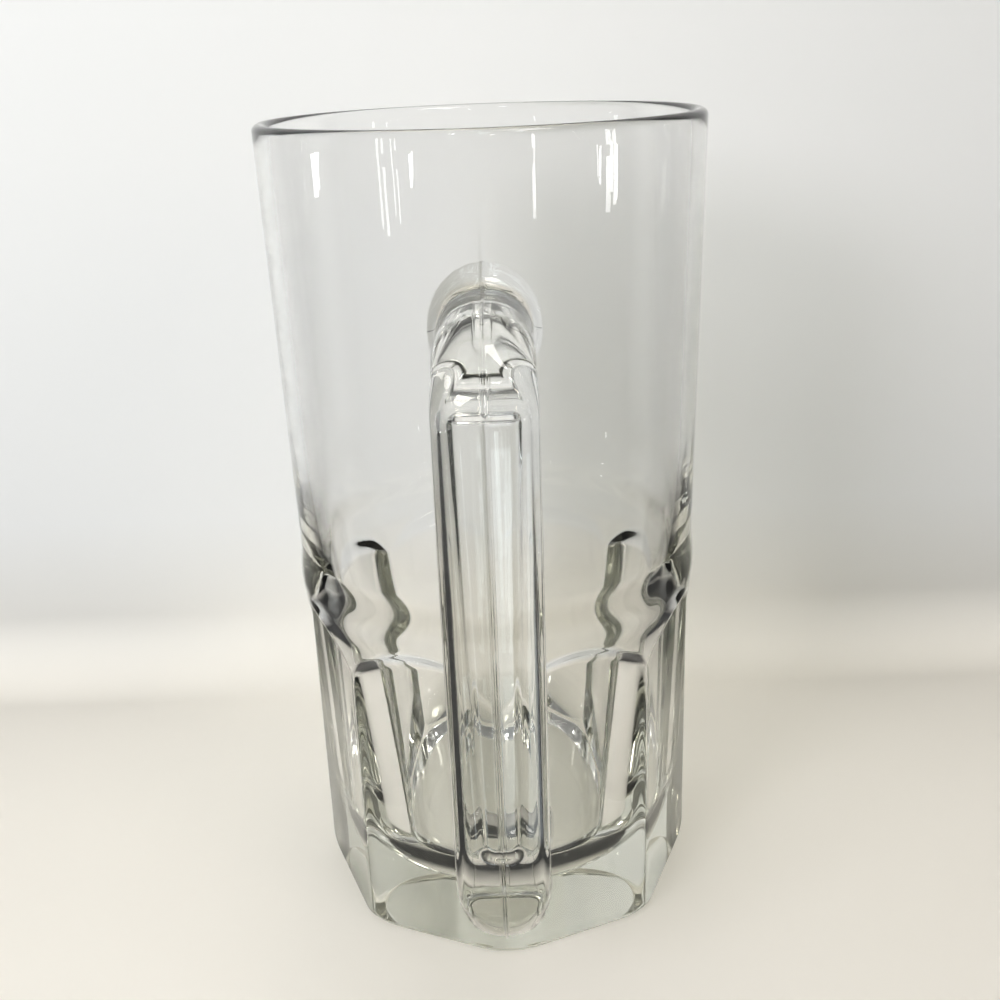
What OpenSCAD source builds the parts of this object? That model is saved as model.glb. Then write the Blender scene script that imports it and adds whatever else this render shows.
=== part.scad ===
// Clear pressed-glass beer mug: a tall vessel with a ring of arch-topped panels round its lower
// part, and a loop handle with a sunken panel in the face of its grip.
// Millimetres, +Z up. The origin is on the vessel's axis, in the plane that the foot stands on.
// The handle points along -Y, with one ridge of the panel ring under it.

/* [Vessel] */
// Height from the foot to the top of the rim
mug_h = 168; // [156:1:184]
// Outer diameter at the rim
rim_d = 88; // [84:0.5:94]
// Thickness of the wall at its rounded rim
rim_wall = 2.8; // [2:0.1:4]
// Outer diameter of the round wall just above the shoulder
waist_d = 85; // [82:0.5:90]
// Thickness of the round wall just above the shoulder
waist_wall = 3; // [2:0.1:4.5]
// How far the shoulder swells out past the wall above and the ridges below
swell = 0.5; // [0.1:0.1:1.2]
// Height of the swollen band above the tops of the arches
swell_h = 10; // [6:0.5:14]

/* [Panels] */
// Number of panels round the vessel
panel_count = 8; // [6:1:10]
// Diameter across the ridges between the panels
ridge_d = 84.8; // [82:0.2:90]
// Depth of a panel's middle below the circle of the ridges
panel_depth = 3.05; // [2:0.05:4]
// Height of the tops of the arches above the foot
panel_top = 73; // [60:0.5:80]
// Rise of an arch from the ridges to its top
arch_rise = 4; // [3:0.5:8]
// Height of the soft ledge between a panel and the round wall
ledge_h = 7; // [3:0.5:9]
// How far the ledge's curve would run on past the round wall
ledge_over = 0.8; // [0.4:0.1:1.5]

/* [Inside] */
// Thickness of the glass under the drink
base_t = 10; // [8:0.5:18]
// Height above the tops of the arches where the inside starts to narrow
taper_above = 12; // [6:1:70]
// Thickness of the glass behind a panel's middle, beside the top of the floor's fillet
well_wall = 7; // [5:0.05:15]
// Radius between the narrowing wall and the floor
floor_fillet = 18; // [8:0.5:22]
// Slope of the fillet where it meets the flat floor, in degrees
floor_crease = 30; // [5:1:45]

/* [Foot] */
// Radius of the rounding at the foot of the ridges
foot_round = 3; // [1.5:0.25:5]
// Width of the flat ring that the foot stands on, at a panel's middle
foot_ring = 5.35; // [4:0.05:16]
// Depth of the hollow under the foot
hollow_h = 0.75; // [0.5:0.25:4]

/* [Handle] */
// Width of the handle, side to side
handle_w = 16.3; // [13:0.1:20]
// Thickness of the grip, front to back
grip_t = 12; // [9:0.5:15]
// Room for fingers between the wall and the grip
finger_gap = 23.5; // [20:0.5:30]
// Distance from the rim down to the top of the upper arm
handle_drop = 25.5; // [18:0.5:34]
// Height of the underside of the lower arm above the foot
handle_foot_z = 22; // [12:0.5:30]
// Thickness of the upper arm, top to bottom
upper_arm_t = 12; // [9:0.5:14]
// Thickness of the lower arm, top to bottom
lower_arm_t = 13; // [9:0.5:16]
// Outer radius of the upper bend
upper_bend = 13; // [9:0.5:20]
// Inner radius of the upper bend
upper_hollow = 6; // [3:0.5:10]
// Outer radius of the lower bend
lower_bend = 26; // [16:0.5:30]
// Inner radius of the lower bend
lower_hollow = 15; // [6:0.5:18]
// Radius of the fillets where the arms meet the wall, above and below
weld_fillet = 4; // [2:0.25:6]
// Width of those fillets at the sides of an arm, as a share of the radius
weld_side_share = 0.45; // [0.2:0.05:1]

/* [Handle section] */
// Rounding along the front edges of the grip
grip_edge = 1.4; // [0.6:0.1:2]
// Rounding along the finger side of the handle
finger_edge = 4; // [2:0.25:5]
// Height of the domed top of the upper arm
upper_dome = 7.5; // [5:0.25:8]
// Height of the rounded underside of the lower arm
lower_dome = 6.5; // [3:0.25:8]

/* [Sunken panel] */
// Width of the sunken panel at its top
sunk_top_w = 11.8; // [8:0.1:13]
// Width of the sunken panel at its bottom
sunk_foot_w = 8.3; // [6:0.1:11]
// Depth of the sunken panel
sunk_depth = 1; // [0.6:0.1:2]
// Slope of the panel's sides, across their full depth
sunk_draft = 1.2; // [0.2:0.1:2]
// How far the sunken panel reaches up past the start of the upper bend
sunk_top_over = 1; // [0:0.25:2]
// Distance from the lower bend up to the sunken panel
sunk_foot_margin = 3; // [1:0.25:8]
// Corner radius at the top of the sunken panel
sunk_top_round = 1.6; // [1:0.1:3]
// Corner radius at the bottom of the sunken panel
sunk_foot_round = 3.4; // [2:0.1:4]

/* [Hidden] */

glass_colour = [0.86, 0.9, 0.88, 0.5];
overrun = 2;

// Counts of straight steps in each curve
arc_steps = 6;
shoulder_steps = 8;
ledge_steps = 6;
bend_steps = 16;
corner_steps = 6;
revolve_steps = 128;

rim_r = rim_d / 2;
waist_r = waist_d / 2;
ridge_r = ridge_d / 2;
waist_z = panel_top + swell_h;

// Panels: flat faces square to the radius, under an arch that spans from ridge to ridge
panel_pitch = 360 / panel_count;
panel_r = ridge_r - panel_depth;
well_r = panel_r - well_wall;
hollow_r = panel_r - foot_ring;
panel_half_w = ridge_r * sin(panel_pitch / 2);
arch_r = (pow(panel_half_w, 2) + pow(arch_rise, 2)) / (2 * arch_rise);
arch_z = panel_top - arch_r;
ledge_depth = waist_r + swell + ledge_over - panel_r;

// Hollow under the foot: part of a sphere
hollow_sphere_r = (pow(hollow_r, 2) + pow(hollow_h, 2)) / (2 * hollow_h);
hollow_turn = acos(hollow_r / hollow_sphere_r);

// Handle: an outer and an inner rail in the YZ plane
grip_y = -(waist_r + finger_gap + grip_t);
arm_z = mug_h - handle_drop;
upper_out = [grip_y + upper_bend, arm_z - upper_bend];
upper_in = [grip_y + grip_t + upper_hollow, arm_z - upper_arm_t - upper_hollow];
lower_out = [grip_y + lower_bend, handle_foot_z + lower_bend];
lower_in = [grip_y + grip_t + lower_hollow, handle_foot_z + lower_arm_t + lower_hollow];
// Share of the half width that the rounding of an arm takes on each side
dome_share = 0.95;
// Shares of the upper bend after which, and of the lower bend until which, the outside is flattening
upper_flat_share = 0.45;
lower_flat_share = 0.45;
// How deep an arm's end starts behind the front of the wall, before it is fitted to the wall
weld_sink = 9;

function lerp(a, b, t) = a + (b - a) * t;
function smooth(t) = let (s = min(max(t, 0), 1)) s * s * (3 - 2 * s);
function steps(n) = [for (i = [0:n]) i / n];

// Points of a circular arc from one angle to another
function arc(centre, r, from, to, n) =
    [for (t = steps(n)) let (a = lerp(from, to, t)) centre + r * [cos(a), sin(a)]];

// Outer radius of the plain round wall at a height
function wall_r(z) = lerp(waist_r, rim_r, (z - waist_z) / (mug_h - waist_z));

// Outer radius through the swollen band, from the ridges up to the plain wall
function shoulder_r(t) = lerp(ridge_r, waist_r, t) + swell * pow(sin(180 * t), 2);

foot_arc = arc([ridge_r - foot_round, foot_round], foot_round, -90, 0, arc_steps);
shoulder_curve = [for (t = steps(shoulder_steps)) [shoulder_r(t), lerp(panel_top - arch_rise, waist_z, t)]];
rim_centre = [rim_r - rim_wall / 2, mug_h - rim_wall / 2];

// Inside below the rim: a straight wall, then a narrowing one that runs on into the floor's fillet
taper_top = [waist_r - waist_wall, panel_top + taper_above];
floor_centre = [well_r - floor_fillet, base_t + floor_fillet * cos(floor_crease)];
taper_run = taper_top - floor_centre;
taper_turn = atan2(taper_run[1], taper_run[0]) - acos(floor_fillet / norm(taper_run));
floor_arc = arc(floor_centre, floor_fillet, taper_turn, floor_crease - 90, arc_steps);
hollow_arc = arc([0, hollow_h - hollow_sphere_r], hollow_sphere_r, 90, hollow_turn, arc_steps);

// Section of the glass on one side of the axis, before the panels are pressed into it
glass_section = concat(
    hollow_arc,
    foot_arc,
    shoulder_curve,
    arc(rim_centre, rim_wall / 2, 0, 180, 2 * arc_steps),
    [taper_top],
    floor_arc,
    [[0, base_t]]
);

// The same outline filled in below the rim, which the handle is fitted against
outer_section = concat(
    [[0, 0]],
    foot_arc,
    shoulder_curve,
    [[rim_r, rim_centre[1]], [0, rim_centre[1]]]
);

// Profile of the arch's edge: flat panel, soft ledge, round wall
arch_profile = concat(
    [[0, 0]],
    [for (t = steps(ledge_steps)) [arch_r + ledge_h * (t - 1), ledge_depth * smooth(t)]],
    [[arch_r, ledge_depth + overrun], [0, ledge_depth + overrun]]
);

// The glass that one panel removes: a straight run from the foot and the arch above it
module panel_cut() {
    translate([panel_r, 0, arch_z])
        rotate([0, 90, 0])
            rotate_extrude($fn = revolve_steps)
                polygon(arch_profile);
    translate([panel_r, ledge_h - arch_r, -overrun])
        cube([ledge_depth + overrun, 2 * (arch_r - ledge_h), max(arch_z, 0) + overrun]);
}

// Panels counted round from the ridge under the handle
module panels(first, last) {
    for (i = [first:last])
        rotate([0, 0, (i + 1 / 2) * panel_pitch - 90])
            panel_cut();
}

// Outside of the vessel, with the two panels that meet under the handle
module vessel_front() {
    difference() {
        rotate_extrude($fn = revolve_steps)
            polygon(outer_section);
        panels(-1, 0);
    }
}

module mug_body() {
    color(glass_colour)
        difference() {
            rotate_extrude($fn = revolve_steps)
                polygon(glass_section);
            panels(0, panel_count - 1);
        }
}

// One quarter of a section's rounding, about a corner's centre
function corner(centre, rx, ry, from) =
    [for (t = steps(corner_steps)) let (a = from + 90 * t) centre + [rx * cos(a), ry * sin(a)]];

// Section of the handle between a point on the outer rail and one on the inner rail.
// The outer corners round over (rx, ry), and flare moves the outline outwards, less so at its sides.
function handle_ring(out, in, rx, ry, flare) =
    let (
        t = norm(out - in),
        n = (out - in) / t,
        x = handle_w / 2,
        e = finger_edge,
        spread = flare * weld_side_share,
        outline = concat(
            corner([x - rx, t - ry], rx + spread, ry + flare, 0),
            corner([rx - x, t - ry], rx + spread, ry + flare, 90),
            corner([e - x, e], e + spread, e + flare, 180),
            corner([x - e, e], e + spread, e + flare, 270)
        )
    )
    [for (p = outline) [p[0], in[0] + n[0] * p[1], in[1] + n[1] * p[1]]];

arm_rx = dome_share * handle_w / 2;

// Distances from the wall of the rings that form a weld's fillet, and the fillet's width at each
weld_shares = [for (t = steps(corner_steps)) 1 - cos(90 * t)];
function fillet(share) = weld_fillet * (1 - sqrt(1 - pow(1 - share, 2)));

// How far the wall falls back, at a distance from the handle's middle, behind each weld
weld_r = wall_r(arm_z - upper_arm_t / 2);
function round_fall(x) = weld_r - sqrt(pow(weld_r, 2) - pow(x, 2));
function ridge_fall(x) = abs(x) * tan(panel_pitch / 2);

// Rings of an arm at a share of the fillet's run from the wall
function upper_arm_ring(y, flare) =
    handle_ring([y, arm_z], [y, arm_z - upper_arm_t], arm_rx, upper_dome, flare);
function lower_arm_ring(y, flare) =
    handle_ring([y, handle_foot_z], [y, handle_foot_z + lower_arm_t], arm_rx, lower_dome, flare);

upper_arm_rings = concat(
    [upper_arm_ring(weld_sink - weld_r, weld_fillet)],
    [
        for (s = weld_shares)
            [
                for (p = upper_arm_ring(-weld_r - weld_fillet * s, fillet(s)))
                    p + [0, (1 - s) * round_fall(p[0]), 0]
            ]
    ]
);
upper_bend_rings = [
    for (t = steps(bend_steps))
        let (d = [-sin(90 * t), cos(90 * t)], m = smooth((t - upper_flat_share) / (1 - upper_flat_share)))
        handle_ring(upper_out + upper_bend * d, upper_in + upper_hollow * d,
                    lerp(arm_rx, grip_edge, m), lerp(upper_dome, grip_edge, m), 0)
];
lower_bend_rings = [
    for (t = steps(bend_steps))
        let (d = [-cos(90 * t), -sin(90 * t)], m = smooth(t / lower_flat_share))
        handle_ring(lower_out + lower_bend * d, lower_in + lower_hollow * d,
                    lerp(grip_edge, arm_rx, m), lerp(grip_edge, lower_dome, m), 0)
];
lower_arm_rings = concat(
    [
        for (i = [corner_steps:-1:0])
            let (s = weld_shares[i])
            [
                for (p = lower_arm_ring(-ridge_r - weld_fillet * s, fillet(s)))
                    p + [0, (1 - s) * ridge_fall(p[0]), 0]
            ]
    ],
    [lower_arm_ring(weld_sink - ridge_r, weld_fillet)]
);
handle_rings = concat(upper_arm_rings, upper_bend_rings, lower_bend_rings, lower_arm_rings);

// Outline of the sunken panel, drawn in by an inset, at a depth behind the grip's face
sunk_top_z = upper_out[1] + sunk_top_over;
sunk_foot_z = lower_out[1] + sunk_foot_margin;
function sunk_ring(y, inset) =
    let (
        top_w = sunk_top_w / 2 - inset,
        foot_w = sunk_foot_w / 2 - inset,
        top_z = sunk_top_z - inset,
        foot_z = sunk_foot_z + inset,
        r = sunk_top_round,
        q = sunk_foot_round,
        outline = concat(
            corner([top_w - r, top_z - r], r, r, 0),
            corner([r - top_w, top_z - r], r, r, 90),
            corner([q - foot_w, foot_z + q], q, q, 180),
            corner([foot_w - q, foot_z + q], q, q, 270)
        )
    )
    [for (p = outline) [p[0], y, p[1]]];

// The draft goes on outwards past the grip's face
sunk_flare = sunk_draft * overrun / sunk_depth;
sunk_rings = [
    sunk_ring(grip_y + sunk_depth, sunk_draft),
    sunk_ring(grip_y, 0),
    sunk_ring(grip_y - overrun, -sunk_flare)
];

// Solid skinned over a row of rings that all have the same number of points
module loft(rings) {
    m = len(rings[0]);
    last = len(rings) - 1;
    polyhedron(
        points = [for (ring = rings) each ring],
        faces = concat(
            [[for (j = [0:m - 1]) j]],
            [
                for (i = [0:last - 1], j = [0:m - 1])
                    let (k = (j + 1) % m, a = i * m, b = a + m)
                    each [[a + j, b + j, a + k], [a + k, b + j, b + k]]
            ],
            [[for (j = [m - 1:-1:0]) last * m + j]]
        )
    );
}

module handle() {
    color(glass_colour)
        difference() {
            loft(handle_rings);
            loft(sunk_rings);
            vessel_front();
        }
}

mug_body();
handle();
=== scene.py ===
"""Clear pressed-glass beer mug: a panelled vessel and a loop handle, on a pale studio floor."""

import logging
import math
from collections.abc import Callable
from dataclasses import dataclass
from enum import Enum

import bpy
from mathutils import Matrix, Vector


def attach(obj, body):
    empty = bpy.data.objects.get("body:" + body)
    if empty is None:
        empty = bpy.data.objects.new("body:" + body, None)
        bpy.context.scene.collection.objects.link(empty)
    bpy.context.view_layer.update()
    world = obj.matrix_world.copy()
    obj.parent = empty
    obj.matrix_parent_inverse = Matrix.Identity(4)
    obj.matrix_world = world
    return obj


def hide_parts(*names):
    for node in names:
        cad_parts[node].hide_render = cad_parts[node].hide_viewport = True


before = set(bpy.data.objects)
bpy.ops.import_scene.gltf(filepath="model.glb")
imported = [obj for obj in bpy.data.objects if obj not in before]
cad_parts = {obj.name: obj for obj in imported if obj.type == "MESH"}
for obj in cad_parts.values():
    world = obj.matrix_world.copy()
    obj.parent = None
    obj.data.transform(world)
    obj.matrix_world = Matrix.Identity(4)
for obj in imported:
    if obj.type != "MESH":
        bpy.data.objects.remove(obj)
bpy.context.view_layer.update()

MM = 0.001
LOG = logging.getLogger("beer_mug")

Point = tuple[float, float]
Place = tuple[float, float, float]
Colour = tuple[float, float, float, float]
Wave = tuple[float, float, float, float]
Ring = list[Vector]
Faces = list[tuple[int, ...]]


def lerp(start: float, end: float, share: float) -> float:
    """Returns the value a share of the way from start to end."""
    return start + (end - start) * share


def between(start: Point, end: Point, share: float) -> Point:
    """Returns the point at a share of the way from start to end."""
    return (lerp(start[0], end[0], share), lerp(start[1], end[1], share))


def smooth(share: float) -> float:
    """Returns a share eased at both ends, with anything outside 0 to 1 held at the end."""
    held = min(max(share, 0.0), 1.0)
    return held * held * (3.0 - 2.0 * held)


def steps(count: int) -> list[float]:
    """Returns count + 1 even shares from 0 to 1."""
    return [place / count for place in range(count + 1)]


def arc(centre: Point, radius: float, start: float, end: float, count: int) -> list[Point]:
    """Makes the points of a circular arc.

    Args:
        centre: Centre of the circle.
        radius: Radius of the circle.
        start: Angle of the first point, in degrees.
        end: Angle of the last point, in degrees.
        count: Number of straight steps.

    Returns:
        The points, in order.
    """
    angles = [math.radians(lerp(start, end, share)) for share in steps(count)]
    return [(centre[0] + radius * math.cos(a), centre[1] + radius * math.sin(a)) for a in angles]


def bell(distance: float, width: float) -> float:
    """Returns a bump of height 1 at distance 0 that fades out over about twice the width."""
    return math.exp(-((distance / width) ** 2))


def mesh_object(name: str, points: list[Vector], faces: Faces) -> bpy.types.Object:
    """Makes a smooth-shaded mesh object and links it to the scene.

    Args:
        name: Name of the piece.
        points: Corner points, in metres.
        faces: Corner numbers of each face, counter-clockwise from outside.

    Returns:
        The new object, at the origin.
    """
    mesh = bpy.data.meshes.new(name)
    mesh.from_pydata(points, [], faces)
    mesh.polygons.foreach_set("use_smooth", [True] * len(mesh.polygons))
    mesh.update()
    piece = bpy.data.objects.new(name, mesh)
    bpy.context.scene.collection.objects.link(piece)
    return piece


def skin(rings: list[Ring], first_pole: Vector, last_pole: Vector) -> tuple[list[Vector], Faces]:
    """Skins a closed surface over a row of rings.

    Args:
        rings: Rings with the same number of points, each running clockwise seen along the row.
        first_pole: Point that closes the first ring.
        last_pole: Point that closes the last ring.

    Returns:
        The points and the faces.
    """
    size = len(rings[0])
    points = [point for ring in rings for point in ring] + [first_pole, last_pole]
    faces: Faces = []
    first, last = len(points) - 2, len(points) - 1
    top = (len(rings) - 1) * size
    for here in range(size):
        after = (here + 1) % size
        faces.append((first, here, after))
        faces.append((last, top + after, top + here))
        for row in range(len(rings) - 1):
            low, high = row * size, (row + 1) * size
            faces.append((low + here, high + here, high + after, low + after))
    return points, faces


class Term:
    """A number that a node tree works out, written with the usual arithmetic."""

    def __init__(self, tree: bpy.types.NodeTree, socket: bpy.types.NodeSocket) -> None:
        """Wraps a socket of a tree."""
        self.tree = tree
        self.socket = socket

    def math(self, operation: str, *values: "Term | float") -> "Term":
        """Adds a Math node.

        Args:
            operation: The node's operation.
            values: What goes into the node's inputs, in order.

        Returns:
            The node's result.
        """
        node = self.tree.nodes.new("ShaderNodeMath")
        node.operation = operation
        for place, value in enumerate(values):
            if isinstance(value, Term):
                self.tree.links.new(value.socket, node.inputs[place])
            else:
                node.inputs[place].default_value = value
        return Term(self.tree, node.outputs[0])

    def __add__(self, other: "Term | float") -> "Term":
        """Returns self + other."""
        return self.math("ADD", self, other)

    def __sub__(self, other: "Term | float") -> "Term":
        """Returns self - other."""
        return self.math("SUBTRACT", self, other)

    def __rsub__(self, other: float) -> "Term":
        """Returns other - self."""
        return self.math("SUBTRACT", other, self)

    def __mul__(self, other: "Term | float") -> "Term":
        """Returns self * other."""
        return self.math("MULTIPLY", self, other)

    def __truediv__(self, other: "Term | float") -> "Term":
        """Returns self / other."""
        return self.math("DIVIDE", self, other)

    def held(self) -> "Term":
        """Returns self held between 0 and 1."""
        return self.math("MINIMUM", self.math("MAXIMUM", self, 0.0), 1.0)

    def root(self) -> "Term":
        """Returns the square root of self."""
        return self.math("SQRT", self)

    def greater(self, other: "Term | float") -> "Term":
        """Returns the greater of self and other."""
        return self.math("MAXIMUM", self, other)

    def share(self, span: Point) -> "Term":
        """Returns how far self has gone from the span's start to its end, held between 0 and 1."""
        return ((self - span[0]) / (span[1] - span[0])).held()

    def within(self, span: Point, edge: float) -> "Term":
        """Returns 1 inside the span, falling to 0 over an edge at either end of it."""
        return ((self - span[0]) / edge).held() * ((span[1] - self) / edge).held()


class Face(Enum):
    """The two long faces of the handle."""

    OUTER = "outer"
    FINGER = "finger"


SectionPoint = tuple[float, float, Face]


@dataclass(frozen=True)
class GlassFinish:
    """Clear soda-lime glass: colourless at a glance, faintly green where it is thick."""

    name: str = "clear_glass"
    ior: float = 1.52
    roughness: float = 0.0
    tint: Colour = (0.55, 0.56, 0.39, 1.0)
    tint_density: float = 8.0
    shadow: Colour = (0.84, 0.85, 0.84, 1.0)

    def material(self) -> bpy.types.Material:
        """Makes the material.

        Returns:
            Polished glass that soaks up a little light, blue most of all, and casts a pale shadow.
        """
        material = bpy.data.materials.new(self.name)
        material.use_nodes = True
        nodes, links = material.node_tree.nodes, material.node_tree.links
        nodes.clear()
        output = nodes.new("ShaderNodeOutputMaterial")
        glass = nodes.new("ShaderNodeBsdfPrincipled")
        glass.inputs["Base Color"].default_value = (1.0, 1.0, 1.0, 1.0)
        glass.inputs["Roughness"].default_value = self.roughness
        glass.inputs["IOR"].default_value = self.ior
        glass.inputs["Transmission Weight"].default_value = 1.0
        clear = nodes.new("ShaderNodeBsdfTransparent")
        clear.inputs["Color"].default_value = self.shadow
        path = nodes.new("ShaderNodeLightPath")
        mix = nodes.new("ShaderNodeMixShader")
        links.new(path.outputs["Is Shadow Ray"], mix.inputs["Fac"])
        links.new(glass.outputs["BSDF"], mix.inputs[1])
        links.new(clear.outputs["BSDF"], mix.inputs[2])
        links.new(mix.outputs["Shader"], output.inputs["Surface"])
        soak = nodes.new("ShaderNodeVolumeAbsorption")
        soak.inputs["Color"].default_value = self.tint
        soak.inputs["Density"].default_value = self.tint_density
        links.new(soak.outputs["Volume"], output.inputs["Volume"])
        return material


@dataclass(frozen=True)
class SweepFinish:
    """Matt paint of the warm pale floor and the white wall, with painted shade that the glass reflects as a
    dim room, a painted contact shadow under the foot and a painted glow.
    """

    name: str = "sweep_paint"
    roughness: float = 0.5
    gloss: float = 0.3
    floor: Colour = (0.8, 0.76, 0.69, 1.0)
    wall: Colour = (0.86, 0.855, 0.84, 1.0)
    wall_from: Point = (0.0, 0.05)
    # Painted shade: the dark colour that reflected rays find in front of the mug, to its sides and in a
    # ring under its foot, standing in for a dim room and a contact shadow.
    dim: Colour = (0.03, 0.03, 0.03, 1.0)
    front: Point = (-0.042, -0.075)
    wall_side_shade: Point = (0.14, 0.35)
    floor_side_shade: Point = (0.08, 0.105)
    # Painted contact shadow: the ring of distances from the foot's middle where the floor is painted dark
    # for reflected rays.
    ring: Point = (0.022, 0.044)
    foot_shadow_edge: float = 0.006
    # Painted glow: a pale emitting area on the floor in front of the mug, seen only in reflections,
    # standing in for a bright light there.
    painted_glow: Colour = (0.85, 0.94, 1.0, 1.0)
    painted_glow_strength: float = 2.5
    painted_glow_x: Point = (-0.002, 0.03)
    painted_glow_y: Point = (-0.45, -0.15)
    painted_glow_edge: float = 0.005
    haze: Colour = (0.75, 0.74, 0.72, 1.0)
    haze_span: Point = (0.3, 1.0)

    def material(self) -> bpy.types.Material:
        """Makes the material.

        Returns:
            Paint that is pale all over, also seen straight through the glass. For rays that the glass
            has reflected, and for bounced light, it is painted dark in front of the mug and to its sides,
            as painted shade that stands in for a dim room, and under the ring of its foot, as a painted
            contact shadow. First reflections also find a painted glow in front of the mug, a bright
            emitting area that stands in for a reflected light. Far off it fades into the pale
            surroundings. The back of the wall is clear to the camera and to lamp light, so that it hides
            nothing.
        """
        material = bpy.data.materials.new(self.name)
        material.use_nodes = True
        tree = material.node_tree
        paint = tree.nodes["Principled BSDF"]
        paint.inputs["Roughness"].default_value = self.roughness
        paint.inputs["Specular IOR Level"].default_value = self.gloss
        paint.inputs["Emission Color"].default_value = self.painted_glow
        place = tree.nodes.new("ShaderNodeTexCoord")
        apart = tree.nodes.new("ShaderNodeSeparateXYZ")
        tree.links.new(place.outputs["Object"], apart.inputs["Vector"])
        x, y, z = (Term(tree, apart.outputs[axis]) for axis in "XYZ")
        path = tree.nodes.new("ShaderNodeLightPath")
        camera, shadow, through, glossy, diffuse = (
            Term(tree, path.outputs[f"Is {kind} Ray"])
            for kind in ("Camera", "Shadow", "Transmission", "Glossy", "Diffuse")
        )
        turned = Term(tree, path.outputs["Glossy Depth"]).greater(diffuse).held()
        reach = (x * x + y * y + z * z).root()
        # Painted contact shadow in a ring under the foot.
        under = reach.within(self.ring, self.foot_shadow_edge)
        upright = z.share(self.wall_from)
        away = x.math("ABSOLUTE", x)
        # Painted shade to the sides and in front of the mug, for reflected and bounced rays only.
        painted_side_shade = away.share(self.wall_side_shade).greater(away.share(self.floor_side_shade) * (1.0 - upright))
        painted_shade = y.share(self.front).greater(painted_side_shade).greater(under) * turned
        pale = self.mix(tree, upright, self.floor, self.wall)
        paint_colour = self.mix(tree, painted_shade, pale, self.dim)
        tree.links.new(paint_colour, paint.inputs["Base Color"])
        # Painted glow, seen only by reflected rays: a painted reflection of a bright light.
        painted_glow_area = x.within(self.painted_glow_x, self.painted_glow_edge) * y.within(self.painted_glow_y, self.painted_glow_edge)
        painted_glow = glossy * painted_glow_area * self.painted_glow_strength
        tree.links.new(painted_glow.socket, paint.inputs["Emission Strength"])
        haze = tree.nodes.new("ShaderNodeEmission")
        haze.inputs["Color"].default_value = self.haze
        far = reach.share(self.haze_span) * (camera + through).held() * (1.0 - turned)
        faded = self.blend(tree, far, paint.outputs["BSDF"], haze.outputs["Emission"])
        clear = tree.nodes.new("ShaderNodeBsdfTransparent")
        behind = Term(tree, tree.nodes.new("ShaderNodeNewGeometry").outputs["Backfacing"])
        one_way = self.blend(tree, behind * (camera + shadow).held(), faded, clear.outputs["BSDF"])
        tree.links.new(one_way, tree.nodes["Material Output"].inputs["Surface"])
        return material

    @staticmethod
    def blend(
        tree: bpy.types.NodeTree, share: Term, start: bpy.types.NodeSocket, end: bpy.types.NodeSocket
    ) -> bpy.types.NodeSocket:
        """Mixes two shaders.

        Args:
            tree: The material's tree.
            share: Share of the second shader.
            start: The first shader.
            end: The second shader.

        Returns:
            The socket that gives the mixed shader.
        """
        node = tree.nodes.new("ShaderNodeMixShader")
        for socket, source in zip(node.inputs, (share.socket, start, end)):
            tree.links.new(source, socket)
        return node.outputs["Shader"]

    @staticmethod
    def mix(
        tree: bpy.types.NodeTree, share: Term, *colours: Colour | bpy.types.NodeSocket
    ) -> bpy.types.NodeSocket:
        """Mixes two colours.

        Args:
            tree: The material's tree.
            share: Share of the second colour.
            colours: The two colours, each as a value or as the socket that gives it.

        Returns:
            The socket that gives the mixed colour.
        """
        node = tree.nodes.new("ShaderNodeMixRGB")
        tree.links.new(share.socket, node.inputs["Fac"])
        for name, colour in zip(("Color1", "Color2"), colours):
            if isinstance(colour, tuple):
                node.inputs[name].default_value = colour
            else:
                tree.links.new(colour, node.inputs[name])
        return node.outputs["Color"]


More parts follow.
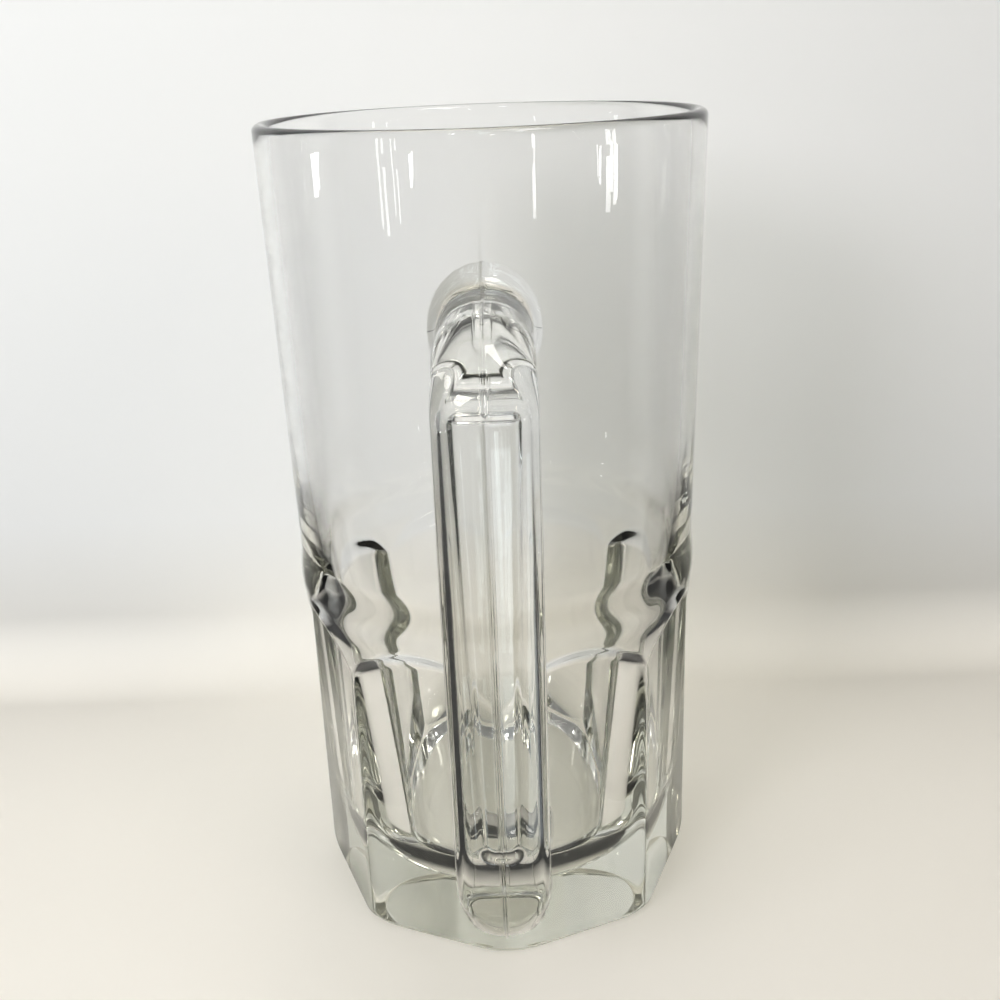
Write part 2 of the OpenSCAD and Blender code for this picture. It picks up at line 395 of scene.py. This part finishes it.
@dataclass
class PanelPress:
    """The tree that presses the ring of arch-topped panels into a round vessel."""

    name: str = "press_panels"
    least_radius: float = 0.01 * MM

    def tree(self, sizes: dict[str, float]) -> bpy.types.NodeTree:
        """Builds the tree.

        Args:
            sizes: Names of the tree's number inputs, with their values.

        Returns:
            The tree, which takes and gives a mesh.
        """
        tree = bpy.data.node_groups.new(self.name, "GeometryNodeTree")
        tree.interface.new_socket("Geometry", in_out="INPUT", socket_type="NodeSocketGeometry")
        for name in sizes:
            tree.interface.new_socket(name, in_out="INPUT", socket_type="NodeSocketFloat")
        tree.interface.new_socket("Material", in_out="INPUT", socket_type="NodeSocketMaterial")
        tree.interface.new_socket("Geometry", in_out="OUTPUT", socket_type="NodeSocketGeometry")
        given = tree.nodes.new("NodeGroupInput")
        size = {name: Term(tree, given.outputs[name]) for name in sizes}
        place = tree.nodes.new("GeometryNodeInputPosition")
        apart = tree.nodes.new("ShaderNodeSeparateXYZ")
        tree.links.new(place.outputs["Position"], apart.inputs["Vector"])
        x, y, z = (Term(tree, apart.outputs[axis]) for axis in "XYZ")
        shrink = self.pressed_share(x, y, z, size)
        joined = tree.nodes.new("ShaderNodeCombineXYZ")
        for axis, value in (("X", x * shrink), ("Y", y * shrink), ("Z", z)):
            tree.links.new(value.socket, joined.inputs[axis])
        move = tree.nodes.new("GeometryNodeSetPosition")
        whole = tree.nodes.new("GeometryNodeRealizeInstances")
        dress = tree.nodes.new("GeometryNodeSetMaterial")
        result = tree.nodes.new("NodeGroupOutput")
        tree.links.new(given.outputs["Geometry"], move.inputs["Geometry"])
        tree.links.new(joined.outputs["Vector"], move.inputs["Position"])
        tree.links.new(move.outputs["Geometry"], whole.inputs["Geometry"])
        tree.links.new(whole.outputs["Geometry"], dress.inputs["Geometry"])
        tree.links.new(given.outputs["Material"], dress.inputs["Material"])
        tree.links.new(dress.outputs["Geometry"], result.inputs["Geometry"])
        return tree

    def pressed_share(self, x: Term, y: Term, z: Term, size: dict[str, Term]) -> Term:
        """Works out how far each point moves towards the axis.

        Args:
            x: The point's X.
            y: The point's Y.
            z: The point's height.
            size: The tree's number inputs.

        Returns:
            The point's new radius as a share of its old one.
        """
        radius = (x * x + y * y).root()
        pitch = size["Panels"].math("DIVIDE", math.tau, size["Panels"])
        turn = y.math("ARCTAN2", y, x) + math.pi / 2.0
        local = turn.math("FLOORED_MODULO", turn, pitch) - pitch / 2.0
        across = size["Panel Radius"] * local.math("TANGENT", local)
        above = (z - size["Arch Centre"]).greater(0.0)
        reach = (across * across + above * above).root()
        share = ((reach - size["Arch Radius"]) / size["Ledge Height"] + 1.0).held()
        ledge = size["Ledge Depth"] * share * share * (3.0 - share * 2.0)
        beyond = (reach - size["Arch Radius"]).greater(0.0)
        low = (1.0 - z / size["Foot Edge"]).held()
        tuck = size["Foot Edge"] * (1.0 - (1.0 - low * low).root())
        flat = (size["Panel Radius"] + ledge + beyond - tuck) / local.math("COSINE", local)
        pressed = radius.math("SMOOTH_MIN", radius, flat, size["Softness"])
        return pressed / radius.greater(self.least_radius)


@dataclass
class Vessel:
    """The glass vessel: round above, eight arch-topped panels below, thick foot, narrow well."""

    height: float = 168.0 * MM
    rim_r: float = 44.0 * MM
    rim_wall: float = 2.8 * MM
    waist_r: float = 42.5 * MM
    waist_wall: float = 3.0 * MM
    swell: float = 0.5 * MM
    swell_h: float = 10.0 * MM
    panel_count: int = 8
    ridge_r: float = 42.4 * MM
    panel_depth: float = 3.05 * MM
    panel_top: float = 73.0 * MM
    arch_rise: float = 4.0 * MM
    ledge_h: float = 7.0 * MM
    ledge_over: float = 0.8 * MM
    softness: float = 0.8 * MM
    base_t: float = 10.0 * MM
    taper_above: float = 12.0 * MM
    taper_blend: float = 20.0 * MM
    well_wall: float = 7.0 * MM
    floor_fillet: float = 18.0 * MM
    floor_crease: float = 30.0
    foot_round: float = 3.0 * MM
    foot_edge: float = 1.0 * MM
    hollow_r: float = 34.0 * MM
    hollow_h: float = 0.75 * MM
    seam_h: float = 0.1 * MM
    seam_w: float = 0.25 * MM
    seam_drop: float = 6.0 * MM
    ripple_h: float = 0.02 * MM
    ripples: tuple[Wave, ...] = (
        (1.0, 7.0, 0.0, 0.9),
        (0.8, 13.0, 2.0, -1.3),
        (0.6, 23.0, 0.4, 0.0),
        (0.35, 41.0, 1.1, 1.0),
    )
    columns_per_half_panel: int = 22
    column_growth: float = 1.12
    hollow_rows: int = 24
    land_rows: int = 6
    round_rows: int = 16
    ridge_rows: int = 16
    shoulder_rows: int = 56
    wall_rows: int = 24
    bend_rows: int = 24
    well_rows: int = 32
    floor_shares: tuple[float, ...] = (0.01, 0.02, 0.1, 0.3, 0.6)

    @property
    def panel_r(self) -> float:
        """Distance from the axis to the middle of a panel."""
        return self.ridge_r - self.panel_depth

    @property
    def waist_z(self) -> float:
        """Height where the plain round wall starts."""
        return self.panel_top + self.swell_h

    def wall_r(self, z: float) -> float:
        """Returns the outer radius of the plain round wall at a height."""
        return lerp(self.waist_r, self.rim_r, (z - self.waist_z) / (self.height - self.waist_z))

    def shoulder_r(self, z: float) -> float:
        """Works out the outer radius from the ridges up through the swollen band.

        Args:
            z: Height.

        Returns:
            The radius at that height.
        """
        tip_z = self.panel_top - self.arch_rise
        share = min(max((z - tip_z) / (self.waist_z - tip_z), 0.0), 1.0)
        return lerp(self.ridge_r, self.waist_r, share) + self.swell * math.sin(math.pi * share) ** 2

    def section(self) -> list[Point]:
        """Makes the section of the glass.

        Returns:
            The (radius, height) points, from under the foot over the rim to the floor.
        """
        hollow = [
            (self.hollow_r * share, self.hollow_h * (1.0 - smooth(share)))
            for share in steps(self.hollow_rows)[1:]
        ]
        foot_r = self.ridge_r - self.foot_round
        land = [(lerp(self.hollow_r, foot_r, share), 0.0) for share in steps(self.land_rows)[1:-1]]
        foot = arc((foot_r, self.foot_round), self.foot_round, -90.0, 0.0, self.round_rows)
        ledge_foot = self.panel_top - self.arch_rise - self.ledge_h - self.softness
        ridge_z = [lerp(self.foot_round, ledge_foot, share) for share in steps(self.ridge_rows)[1:-1]]
        ridge = [(self.ridge_r, z) for z in ridge_z]
        shoulder_z = [lerp(ledge_foot, self.waist_z, share) for share in steps(self.shoulder_rows)]
        shoulder = [(self.shoulder_r(z), z) for z in shoulder_z]
        half = self.rim_wall / 2.0
        rim_z = self.height - half
        waist, brim = (self.waist_r, self.waist_z), (self.rim_r, rim_z)
        wall = [between(waist, brim, share) for share in steps(self.wall_rows)[1:-1]]
        rim = arc((self.rim_r - half, rim_z), half, 0.0, 180.0, self.round_rows)
        return hollow + land + foot + ridge + shoulder + wall + rim + self.cavity(rim_z)

    def cavity(self, rim_z: float) -> list[Point]:
        """Makes the inside of the section.

        Args:
            rim_z: Height where the rim's rounding ends.

        Returns:
            The (radius, height) points below the rim, down to the floor but for its middle.
        """
        top = (self.waist_r - self.waist_wall, self.panel_top + self.taper_above)
        rim = (self.rim_r - self.rim_wall, rim_z)
        crease = math.radians(self.floor_crease)
        centre_r = self.panel_r - self.well_wall - self.floor_fillet
        centre = (centre_r, self.base_t + self.floor_fillet * math.cos(crease))
        run = math.dist(top, centre)
        turn = math.atan2(top[1] - centre[1], top[0] - centre[0]) - math.acos(self.floor_fillet / run)
        fillet_end = self.floor_crease - 90.0
        fillet = arc(centre, self.floor_fillet, math.degrees(turn), fillet_end, self.bend_rows)
        above = between(top, rim, self.taper_blend / (rim[1] - top[1]))
        below = between(top, fillet[0], self.taper_blend / (top[1] - fillet[0][1]))
        wall = [between(rim, above, share) for share in steps(self.wall_rows)[1:]]
        bend = [
            between(between(above, top, share), between(top, below, share), share)
            for share in steps(self.bend_rows)[1:]
        ]
        well = [between(below, fillet[0], share) for share in steps(self.well_rows)[1:-1]]
        floor_r = centre_r + self.floor_fillet * math.sin(crease)
        floor = [(floor_r * (1.0 - share), self.base_t) for share in self.floor_shares]
        return wall + bend + well + fillet + floor

    def column_angles(self) -> list[float]:
        """Places the mesh's columns.

        Returns:
            The columns' angles, closest together at the ridges.
        """
        count = self.columns_per_half_panel
        growth = [self.column_growth**place for place in range(count)]
        total = sum(growth)
        half = [sum(growth[:place]) / total for place in range(count)]
        pitch = math.tau / self.panel_count
        shares = [share / 2.0 for share in half] + [0.5]
        shares += [1.0 - share / 2.0 for share in reversed(half[1:])]
        start = -math.pi / 2.0
        return [start + pitch * (panel + share) for panel in range(self.panel_count) for share in shares]

    def seam(self, angle: float, radius: float, z: float) -> float:
        """Works out the mould seam, which runs up the front and the back of the outside.

        Args:
            angle: Angle round the axis.
            radius: Outer radius there.
            z: Height.

        Returns:
            How far the seam stands out.
        """
        across = abs(math.cos(angle)) * radius
        top = self.height - self.seam_drop
        fade = smooth((top - z) / self.seam_drop) * smooth(z / self.foot_round)
        return self.seam_h * bell(across, self.seam_w) * fade

    def ripple(self, angle: float, z: float) -> float:
        """Works out the slight upright waves that pressing leaves in the inner wall.

        Args:
            angle: Angle round the axis.
            z: Height.

        Returns:
            How far the inner wall moves outwards.
        """
        fade = smooth((z - self.base_t) / self.panel_top) * smooth((self.height - z) / self.seam_drop)
        lean = z / self.height
        waves = sum(
            part * math.sin(count * angle + start + twist * lean)
            for part, count, start, twist in self.ripples
        )
        return self.ripple_h * fade * waves

    def build(self, finish: bpy.types.Material) -> bpy.types.Object:
        """Builds the vessel.

        Args:
            finish: The glass.

        Returns:
            The finished piece.
        """
        section = self.section()
        angles = self.column_angles()
        rim_row = max(range(len(section)), key=lambda row: section[row][1])
        rings: list[Ring] = []
        for row, (radius, z) in enumerate(section):
            outside = row < rim_row and radius > self.panel_r
            ring = []
            for angle in angles:
                full = radius
                if outside:
                    full += self.seam(angle, radius, z)
                elif row > rim_row:
                    full += self.ripple(angle, z)
                ring.append(Vector((full * math.cos(angle), full * math.sin(angle), z)))
            rings.append(ring)
        under, floor = Vector((0.0, 0.0, self.hollow_h)), Vector((0.0, 0.0, self.base_t))
        points, faces = skin([list(reversed(ring)) for ring in rings], under, floor)
        blank = mesh_object("vessel_blank", points, faces)
        return self.press(blank, finish)

    def press(self, blank: bpy.types.Object, finish: bpy.types.Material) -> bpy.types.Object:
        """Presses the panels into the round blank.

        Args:
            blank: The round vessel, which is used up.
            finish: The glass.

        Returns:
            The vessel as a plain mesh.
        """
        half_w = self.ridge_r * math.sin(math.pi / self.panel_count)
        arch_r = (half_w**2 + self.arch_rise**2) / (2.0 * self.arch_rise)
        sizes = {
            "Panels": float(self.panel_count),
            "Panel Radius": self.panel_r,
            "Arch Radius": arch_r,
            "Arch Centre": self.panel_top - arch_r,
            "Ledge Height": self.ledge_h,
            "Ledge Depth": self.waist_r + self.swell + self.ledge_over - self.panel_r,
            "Foot Edge": self.foot_edge,
            "Softness": self.softness,
        }
        tree = PanelPress().tree(sizes)
        modifier = blank.modifiers.new("press", "NODES")
        modifier.node_group = tree
        for item in tree.interface.items_tree:
            if item.in_out == "INPUT" and item.name in sizes:
                modifier[item.identifier] = sizes[item.name]
            elif item.in_out == "INPUT" and item.name == "Material":
                modifier[item.identifier] = finish
        graph = bpy.context.evaluated_depsgraph_get()
        mesh = bpy.data.meshes.new_from_object(blank.evaluated_get(graph))
        mesh.name = "vessel"
        piece = bpy.data.objects.new("vessel", mesh)
        bpy.context.scene.collection.objects.link(piece)
        bpy.data.objects.remove(blank)
        return piece

    def dress(self, piece: bpy.types.Object) -> None:
        """Puts the vessel in the frame in place of its CAD solid.

        Args:
            piece: The finished vessel.
        """
        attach(piece, "root")
        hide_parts("mug_body")


@dataclass
class Handle:
    """The loop handle: domed arms, bends, and a flat grip with a sunken panel in its outer face."""

    vessel: Vessel
    width: float = 16.3 * MM
    grip_t: float = 12.0 * MM
    finger_gap: float = 23.5 * MM
    drop: float = 25.5 * MM
    foot_z: float = 22.0 * MM
    upper_arm_t: float = 12.0 * MM
    lower_arm_t: float = 13.0 * MM
    upper_bend: float = 13.0 * MM
    upper_hollow: float = 6.0 * MM
    lower_bend: float = 26.0 * MM
    lower_hollow: float = 15.0 * MM
    weld_fillet: float = 4.0 * MM
    weld_side_share: float = 0.45
    weld_edge: float = 0.01 * MM
    weld_sink: float = 0.04 * MM
    cap_shares: tuple[float, ...] = (0.25, 0.5, 0.75, 0.995)
    grip_edge: float = 1.4 * MM
    finger_edge: float = 4.0 * MM
    upper_dome: float = 7.5 * MM
    lower_dome: float = 6.5 * MM
    dome_share: float = 0.95
    upper_flat_from: float = 0.45
    lower_flat_to: float = 0.45
    crown: float = 0.2 * MM
    sunk_top_w: float = 11.8 * MM
    sunk_foot_w: float = 8.3 * MM
    sunk_depth: float = 1.0 * MM
    sunk_slope: float = 1.8 * MM
    sunk_top_margin: float = -1.0 * MM
    sunk_foot_margin: float = 3.0 * MM
    sunk_top_round: float = 1.6 * MM
    sunk_foot_round: float = 3.4 * MM
    sunk_facing: float = 0.8
    seam_h: float = 0.3 * MM
    seam_w: float = 0.25 * MM
    corner_columns: int = 10
    outer_columns: int = 48
    finger_columns: int = 20
    side_columns: int = 6
    column_crowding: float = 1.4
    weld_rows: int = 10
    arm_rows: int = 10
    upper_bend_rows: int = 40
    grip_rows: int = 240
    lower_bend_rows: int = 50

    @property
    def grip_y(self) -> float:
        """Place of the grip's outer face."""
        return -(self.vessel.waist_r + self.finger_gap + self.grip_t)

    @property
    def arm_z(self) -> float:
        """Height of the top of the upper arm."""
        return self.vessel.height - self.drop

    @property
    def arm_rx(self) -> float:
        """Half width of the rounding across an arm."""
        return self.dome_share * self.width / 2.0

    def outline(self, depth: float, rx: float, ry: float, flare: float) -> list[SectionPoint]:
        """Makes a section of the handle, seen along it.

        Args:
            depth: Distance from the finger side to the outer side.
            rx: Width of the rounding at each outer corner.
            ry: Height of the rounding at each outer corner.
            flare: How far the whole outline is moved outwards.

        Returns:
            Points as distance across, distance from the finger side, and the face that they belong to.
        """
        half, edge = self.width / 2.0, self.finger_edge
        spread = flare * self.weld_side_share

        def corner(centre: Point, wide: float, tall: float, start: float, face: Face) -> list[SectionPoint]:
            """Returns a quarter of an ellipse."""
            turns = [math.radians(start + 90.0 * share) for share in steps(self.corner_columns)]
            return [(centre[0] + wide * math.cos(a), centre[1] + tall * math.sin(a), face) for a in turns]

        def flat(reach: float, level: float, count: int, face: Face) -> list[SectionPoint]:
            """Returns the points from one corner to the one across, closest together in the middle."""
            shares = [1.0 - 2.0 * share for share in steps(count)[1:-1]]
            return [(math.copysign(abs(s) ** self.column_crowding, s) * reach, level, face) for s in shares]

        def side(x: float, start: float, end: float, face_from: Face, face_to: Face) -> list[SectionPoint]:
            """Returns the points along one side."""
            shares = steps(self.side_columns)[1:-1]
            return [(x, lerp(start, end, s), face_from if s < 0.5 else face_to) for s in shares]

        top, low = Face.OUTER, Face.FINGER
        wide, tall = rx + spread, ry + flare
        return (
            corner((half - rx, depth - ry), wide, tall, 0.0, top)
            + flat(half - rx, depth + flare, self.outer_columns, top)
            + corner((rx - half, depth - ry), wide, tall, 90.0, top)
            + side(-half - spread, depth - ry, edge, top, low)
            + corner((edge - half, edge), edge + spread, edge + flare, 180.0, low)
            + flat(edge - half, -flare, self.finger_columns, low)
            + corner((half - edge, edge), edge + spread, edge + flare, 270.0, low)
            + side(half + spread, edge, depth - ry, low, top)
        )

    def ring(self, out: Point, inner: Point, rx: float, ry: float, flare: float = 0.0) -> Ring:
        """Makes one ring of the handle between its two rails.

        Args:
            out: Point (y, z) on the outer rail.
            inner: Point (y, z) on the rail of the finger side.
            rx: Width of the rounding at each outer corner.
            ry: Height of the rounding at each outer corner.
            flare: How far the whole section is moved outwards.

        Returns:
            The ring's points.
        """
        depth = math.dist(out, inner)
        normal = ((out[0] - inner[0]) / depth, (out[1] - inner[1]) / depth)
        ring: Ring = []
        for x, level, face in self.outline(depth, rx, ry, flare):
            seam = self.seam_h * bell(x, self.seam_w)
            if face is Face.OUTER:
                level += seam - self.crown * abs(x) / self.width
                level -= self.sunk(x, inner[1] + normal[1] * level, normal)
            else:
                level -= seam
            ring.append(Vector((x, inner[0] + normal[0] * level, inner[1] + normal[1] * level)))
        return ring

    def sunk(self, x: float, z: float, normal: Point) -> float:
        """Works out the depth of the sunken panel.

        Args:
            x: Distance across from the grip's middle.
            z: Height.
            normal: Direction (y, z) of the ring, which lies across the grip where there is a panel.

        Returns:
            The depth at that point.
        """
        if normal[0] > -self.sunk_facing:
            return 0.0
        top = self.arm_z - self.upper_bend - self.sunk_top_margin
        foot = self.foot_z + self.lower_bend + self.sunk_foot_margin
        half = lerp(self.sunk_foot_w, self.sunk_top_w, (z - foot) / (top - foot)) / 2.0
        inside = half - abs(x)
        for end, rounding in ((top - z, self.sunk_top_round), (z - foot, self.sunk_foot_round)):
            gap_x, gap_z = rounding - inside, rounding - end
            if gap_x > 0.0 and gap_z > 0.0:
                inside = rounding - math.hypot(gap_x, gap_z)
            else:
                inside = min(inside, end)
        return self.sunk_depth * smooth(inside / self.sunk_slope)

    def upper_wall(self, x: float, z: float) -> float:
        """Returns the place of the vessel's wall behind the upper weld."""
        return -math.sqrt(self.vessel.wall_r(z) ** 2 - x * x)

    def lower_wall(self, x: float, _z: float) -> float:
        """Returns the place of the ridge and panels behind the lower weld."""
        return abs(x) * math.tan(math.pi / self.vessel.panel_count) - self.vessel.ridge_r

    def weld(
        self, out_z: float, inner_z: float, dome: float, wall: Callable[[float, float], float]
    ) -> list[Ring]:
        """Makes the rings of one arm's end, from inside the wall out to the end of its fillet.

        Args:
            out_z: Height of the arm's outer side.
            inner_z: Height of the arm's finger side.
            dome: Height of the arm's rounding.
            wall: Gives the wall's place for a point's x and z.

        Returns:
            The rings, the innermost first.
        """
        middle_z = (out_z + inner_z) / 2.0
        root = wall(0.0, middle_z)
        rings: list[Ring] = []
        for share in [1.0 - math.cos(math.pi / 2.0 * s) for s in steps(self.weld_rows)]:
            flare = self.weld_fillet * (1.0 - math.sqrt(1.0 - (1.0 - share) ** 2))
            y = root - self.weld_fillet * share
            ring = self.ring((y, out_z), (y, inner_z), self.arm_rx, dome, flare)
            for point in ring:
                point.y += (1.0 - share) * (wall(point.x, point.z) + self.weld_edge - root)
            rings.append(ring)
        caps: list[Ring] = []
        for share in self.cap_shares:
            cap = []
            for point in rings[0]:
                x, z = point.x * share, lerp(middle_z, point.z, share)
                cap.append(Vector((x, wall(x, z) + self.weld_sink, z)))
            caps.append(cap)
        return caps + rings

    def rails(self) -> list[tuple[Point, Point, float, float]]:
        """Lays the two rails from the upper bend down to the lower one.

        Returns:
            Each ring's outer point, finger-side point, and width and height of the outer rounding.
        """
        face_y, back_y = self.grip_y, self.grip_y + self.grip_t
        upper_out = (face_y + self.upper_bend, self.arm_z - self.upper_bend)
        upper_in = (back_y + self.upper_hollow, self.arm_z - self.upper_arm_t - self.upper_hollow)
        lower_out = (face_y + self.lower_bend, self.foot_z + self.lower_bend)
        lower_in = (back_y + self.lower_hollow, self.foot_z + self.lower_arm_t + self.lower_hollow)
        flat = (self.grip_edge, self.grip_edge)
        rows: list[tuple[Point, Point, float, float]] = []
        outs = arc(upper_out, self.upper_bend, 90.0, 180.0, self.upper_bend_rows)
        inners = arc(upper_in, self.upper_hollow, 90.0, 180.0, self.upper_bend_rows)
        for share, out, inner in zip(steps(self.upper_bend_rows), outs, inners):
            ease = smooth((share - self.upper_flat_from) / (1.0 - self.upper_flat_from))
            rows.append((out, inner, *between((self.arm_rx, self.upper_dome), flat, ease)))
        for share in steps(self.grip_rows)[1:-1]:
            out = (face_y, lerp(upper_out[1], lower_out[1], share))
            inner = (back_y, lerp(upper_in[1], lower_in[1], share))
            rows.append((out, inner, *flat))
        outs = arc(lower_out, self.lower_bend, 180.0, 270.0, self.lower_bend_rows)
        inners = arc(lower_in, self.lower_hollow, 180.0, 270.0, self.lower_bend_rows)
        for share, out, inner in zip(steps(self.lower_bend_rows), outs, inners):
            ease = smooth(share / self.lower_flat_to)
            rows.append((out, inner, *between(flat, (self.arm_rx, self.lower_dome), ease)))
        return rows

    def build(self, finish: bpy.types.Material) -> bpy.types.Object:
        """Builds the handle.

        Args:
            finish: The glass.

        Returns:
            The finished piece.
        """
        upper = self.weld(self.arm_z, self.arm_z - self.upper_arm_t, self.upper_dome, self.upper_wall)
        lower = self.weld(self.foot_z, self.foot_z + self.lower_arm_t, self.lower_dome, self.lower_wall)
        bend_y = self.grip_y + self.upper_bend
        weld_y = self.upper_wall(0.0, self.arm_z - self.upper_arm_t / 2.0) - self.weld_fillet
        back_y = self.grip_y + self.grip_t + self.upper_hollow
        arm = [
            self.ring(
                (lerp(weld_y, bend_y, share), self.arm_z),
                (lerp(weld_y, back_y, share), self.arm_z - self.upper_arm_t),
                self.arm_rx,
                self.upper_dome,
            )
            for share in steps(self.arm_rows)[1:-1]
        ]
        loop = [self.ring(*row) for row in self.rails()]
        rings = [list(reversed(ring)) for ring in upper + arm + loop + list(reversed(lower))]
        first = sum(rings[0], Vector()) / len(rings[0])
        last = sum(rings[-1], Vector()) / len(rings[-1])
        piece = mesh_object("handle_loop", *skin(rings, first, last))
        edge_row = len(self.cap_shares)
        self.sharpen(piece.data, len(rings[0]), {edge_row, len(rings) - 1 - edge_row})
        piece.data.materials.append(finish)
        return piece

    def sharpen(self, mesh: bpy.types.Mesh, size: int, rows: set[int]) -> None:
        """Breaks the smooth shading round the hidden edges of the welds.

        Args:
            mesh: The handle's mesh.
            size: Number of points in a ring.
            rows: The rings that are edges.
        """
        for edge in mesh.edges:
            first, last = (corner // size for corner in edge.vertices)
            edge.use_edge_sharp = first == last and first in rows

    def dress(self, piece: bpy.types.Object) -> None:
        """Puts the handle in the frame in place of its CAD solid.

        Args:
            piece: The finished handle.
        """
        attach(piece, "root")
        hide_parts("handle")


@dataclass(frozen=True)
class Lamp:
    """A soft rectangular lamp that points at the mug."""

    name: str
    place: Place
    size: Point
    power: float
    colour: tuple[float, float, float] = (1.0, 1.0, 1.0)
    seen: bool = True

    def build(self, target: Vector) -> bpy.types.Object:
        """Hangs the lamp.

        Args:
            target: What it points at.

        Returns:
            The lamp.
        """
        data = bpy.data.lights.new(self.name, "AREA")
        data.shape = "RECTANGLE"
        data.size, data.size_y = self.size
        data.energy = self.power
        data.color = self.colour
        lamp = bpy.data.objects.new(self.name, data)
        lamp.location = self.place
        lamp.rotation_euler = (target - lamp.location).to_track_quat("-Z", "Y").to_euler()
        lamp.visible_camera = False
        lamp.visible_glossy = self.seen
        lamp.visible_transmission = self.seen
        bpy.context.scene.collection.objects.link(lamp)
        return lamp


LAMPS = (
    Lamp("key", (-0.4, -0.55, 0.42), (0.25, 0.25), 5.0, (0.95, 0.98, 1.0), seen=False),
    Lamp("fill", (0.7, -0.7, 0.5), (0.5, 0.5), 1.0, (1.0, 0.86, 0.66), seen=False),
    Lamp("ceiling", (0.16, -0.2, 0.7), (0.16, 0.2), 0.9, (1.0, 0.97, 0.92)),
    Lamp("strip_left", (-0.6, -0.05, 0.1), (0.03, 0.04), 0.04),
    Lamp("strip_middle", (-0.32, -0.51, 0.1), (0.012, 0.04), 0.03),
    Lamp("strip_right", (0.55, -0.24, 0.095), (0.015, 0.05), 0.04),
    Lamp("strip_far_right", (0.5, -0.32, 0.1), (0.01, 0.04), 0.02),
    Lamp("spark_left", (-0.2, -0.7, 0.9), (0.05, 0.1), 0.3),
    Lamp("spark_right", (0.3, -0.7, 0.85), (0.06, 0.1), 0.35),
    Lamp("spark_low", (0.1, -0.9, 0.5), (0.04, 0.08), 0.2, (1.0, 0.9, 0.75)),
)


@dataclass
class Studio:
    """The pale floor and backdrop, the soft lamps and the camera."""

    floor_drop: float = 0.3 * MM
    floor_reach: float = 3.0
    wall_y: float = 0.09
    cove_r: float = 0.02
    cove_rows: int = 24
    wall_h: float = 1.2
    room_span: Point = (-0.9, 0.2)
    front_grey: float = 0.12
    back_grey: float = 0.5
    open_grey: float = 0.75
    lens: float = 43.16
    pitch: float = 20.82
    roll: float = -2.18
    yaw: float = 0.53
    camera_place: Place = (3.37 * MM, -245.16 * MM, 180.5 * MM)
    sensor: float = 36.0
    near: float = 0.01
    lamp_aim: Place = (0.0, 0.0, 80.0 * MM)
    bounces: int = 32
    glossy_bounces: int = 16

    def sweep(self) -> None:
        """Builds the floor all round, and the wall that rises from it by a round cove."""
        floor = [(-self.floor_reach, 0.0), (self.floor_reach, 0.0)]
        wall = arc((self.wall_y - self.cove_r, self.cove_r), self.cove_r, -90.0, 0.0, self.cove_rows)
        wall += [(self.wall_y, self.wall_h)]
        paint = SweepFinish().material()
        for name, profile in (("studio_floor", floor), ("studio_wall", wall)):
            points = [
                Vector((side * self.floor_reach, y, z - self.floor_drop))
                for y, z in profile
                for side in (-1.0, 1.0)
            ]
            faces = [(2 * i, 2 * i + 1, 2 * i + 3, 2 * i + 2) for i in range(len(profile) - 1)]
            sheet = mesh_object(name, points, faces)
            sheet.data.materials.append(paint)

    def world(self) -> None:
        """Sets the surroundings: dim in front, paler behind, and pale where one looks straight at them."""
        world = bpy.data.worlds.new("studio_world")
        world.use_nodes = True
        tree = world.node_tree
        place = tree.nodes.new("ShaderNodeTexCoord")
        apart = tree.nodes.new("ShaderNodeSeparateXYZ")
        tree.links.new(place.outputs["Generated"], apart.inputs["Vector"])
        path = tree.nodes.new("ShaderNodeLightPath")
        camera, through, turned = (
            Term(tree, path.outputs[name])
            for name in ("Is Camera Ray", "Is Transmission Ray", "Glossy Depth")
        )
        straight = (camera + through).held() * (1.0 - turned.held())
        room = Term(tree, apart.outputs["Y"]).share(self.room_span) * (self.back_grey - self.front_grey)
        grey = (room + self.front_grey).greater(straight * self.open_grey)
        tree.links.new(grey.socket, tree.nodes["Background"].inputs["Color"])
        bpy.context.scene.world = world

    def camera(self) -> bpy.types.Object:
        """Makes the camera.

        Returns:
            The camera, with the photograph's place, turn and lens.
        """
        data = bpy.data.cameras.new("camera")
        data.lens = self.lens
        data.sensor_width = self.sensor
        data.clip_start = self.near
        pitch, roll, yaw = (math.radians(a) for a in (self.pitch, self.roll, self.yaw))
        across = math.cos(pitch)
        ahead = Vector((-math.sin(yaw) * across, math.cos(yaw) * across, -math.sin(pitch)))
        level = Vector((math.cos(yaw), math.sin(yaw), 0.0))
        upright = level.cross(ahead)
        right = level * math.cos(roll) + upright * math.sin(roll)
        up = upright * math.cos(roll) - level * math.sin(roll)
        turn = Matrix((right, up, -ahead)).transposed().to_4x4()
        camera = bpy.data.objects.new("camera", data)
        camera.matrix_world = Matrix.Translation(self.camera_place) @ turn
        bpy.context.scene.collection.objects.link(camera)
        bpy.context.scene.camera = camera
        return camera

    def build(self) -> None:
        """Builds the whole studio."""
        self.sweep()
        self.world()
        self.camera()
        for lamp in LAMPS:
            lamp.build(Vector(self.lamp_aim))
        scene = bpy.context.scene
        scene.view_settings.view_transform = "Standard"
        scene.cycles.max_bounces = self.bounces
        scene.cycles.transmission_bounces = self.bounces
        scene.cycles.glossy_bounces = self.glossy_bounces
        scene.cycles.transparent_max_bounces = self.bounces


def main() -> None:
    """Builds the studio and the mug, piece by piece."""
    logging.basicConfig(level=logging.INFO, format="%(name)s: %(message)s")
    Studio().build()
    glass = GlassFinish().material()
    vessel = Vessel()
    handle = Handle(vessel)
    for part in (vessel, handle):
        piece = part.build(glass)
        part.dress(piece)
        LOG.info("%s: %d faces", piece.name, len(piece.data.polygons))


if __name__ == "__main__":
    main()
